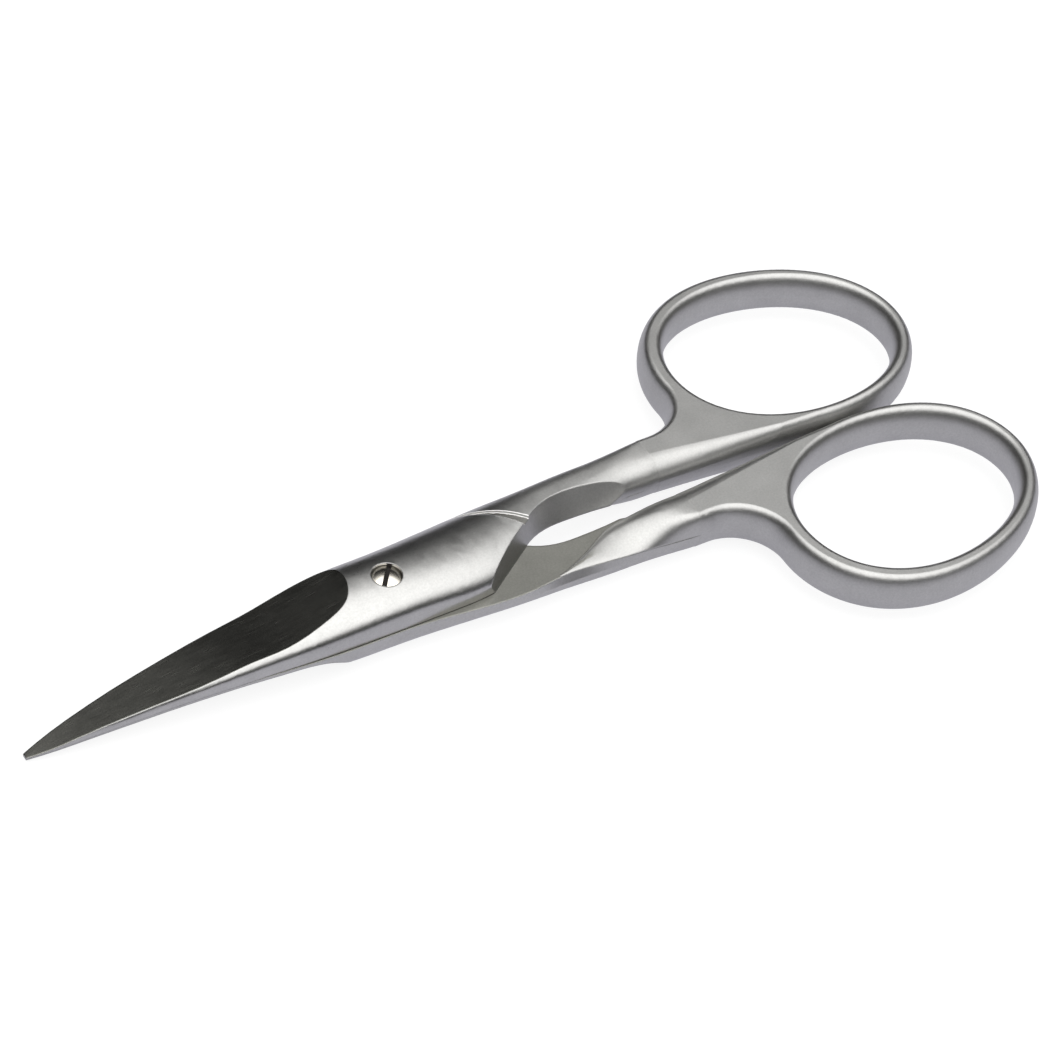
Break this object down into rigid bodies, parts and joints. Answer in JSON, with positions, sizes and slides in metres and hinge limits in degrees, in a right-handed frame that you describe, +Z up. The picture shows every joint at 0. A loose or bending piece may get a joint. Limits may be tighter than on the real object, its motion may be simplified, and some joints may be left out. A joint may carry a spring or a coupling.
{
  "type": "curved nail scissors",
  "caption": "Steel nail scissors with short half-round blades that curve downwards, ground facets, a slotted pivot screw and oval finger rings; they open and shut about the screw.",
  "frame": {"origin": "middle of the underside of the closed scissors' box", "axes": "+X from the blade tips to the finger rings, +Y towards the upper half's ring, +Z up along the pivot screw to its slotted head"},
  "size_m": [0.0988, 0.0442, 0.0064],
  "materials": {
    "satin_steel": "fine satin blasting with bright edges and ground blade facets",
    "screw_nickel": "polished, warm nickel"
  },
  "bodies": {
    "lower": {"lower_half": "satin_steel", "pivot_screw": "screw_nickel"},
    "upper": {"upper_half": "satin_steel"}
  },
  "joints": [
    {"name": "blade_pivot", "type": "hinge", "parent": "lower", "child": "upper", "pos_m": [-0.0142, 0, 0.00321], "axis": [0, 0, 1], "range_deg": [0, 60]}
  ]
}
